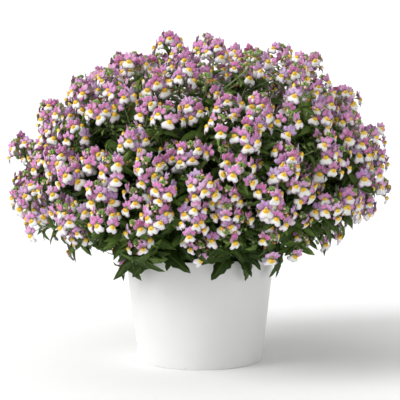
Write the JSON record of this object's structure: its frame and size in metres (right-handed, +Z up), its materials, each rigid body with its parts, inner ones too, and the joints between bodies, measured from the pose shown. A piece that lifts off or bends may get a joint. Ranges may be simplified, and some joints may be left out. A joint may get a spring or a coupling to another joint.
{
  "type": "potted nemesia",
  "caption": "Bushy nemesia in full flower, a dome of two-lipped pink and white flowers with yellow palates over toothed leaves, in a plain white tapered pot.",
  "frame": {"origin": "middle of the pot's flat foot, on the surface that it stands on", "axes": "+Z up along the pot's axis, -Y towards the side that the picture shows, +X to its right"},
  "size_m": [0.4467, 0.4511, 0.3961],
  "materials": {
    "pot": "satin",
    "soil": "rough crumb",
    "foliage": "thin toothed leaf, slightly glossy above",
    "flowers": "velvety petal"
  },
  "bodies": {
    "root": {"pot": "pot", "soil": "soil", "rim_shoot_01": "foliage", "rim_shoot_02": "foliage", "rim_shoot_03": "foliage", "rim_shoot_04": "foliage", "rim_shoot_05": "foliage", "rim_shoot_06": "foliage", "rim_shoot_07": "foliage", "rim_shoot_08": "foliage", "stem_01": "foliage", "stem_02": "foliage", "stem_03": "foliage", "stem_04": "foliage", "stem_05": "foliage", "stem_06": "foliage", "stem_07": "foliage", "stem_08": "foliage", "stem_09": "foliage", "stem_10": "foliage", "stem_11": "foliage", "stem_12": "foliage", "spray_01": "flowers", "spray_02": "flowers", "spray_03": "flowers", "spray_04": "flowers", "spray_05": "flowers", "spray_06": "flowers", "spray_07": "flowers", "spray_08": "flowers", "spray_09": "flowers", "spray_10": "flowers", "spray_11": "flowers", "spray_12": "flowers", "spray_13": "flowers", "spray_14": "flowers", "spray_15": "flowers", "spray_16": "flowers", "spray_17": "flowers", "spray_18": "flowers", "spray_19": "flowers", "spray_20": "flowers", "spray_21": "flowers", "spray_22": "flowers", "spray_23": "flowers", "spray_24": "flowers", "spray_25": "flowers", "spray_26": "flowers", "spray_27": "flowers", "spray_28": "flowers"}
  },
  "joints": []
}
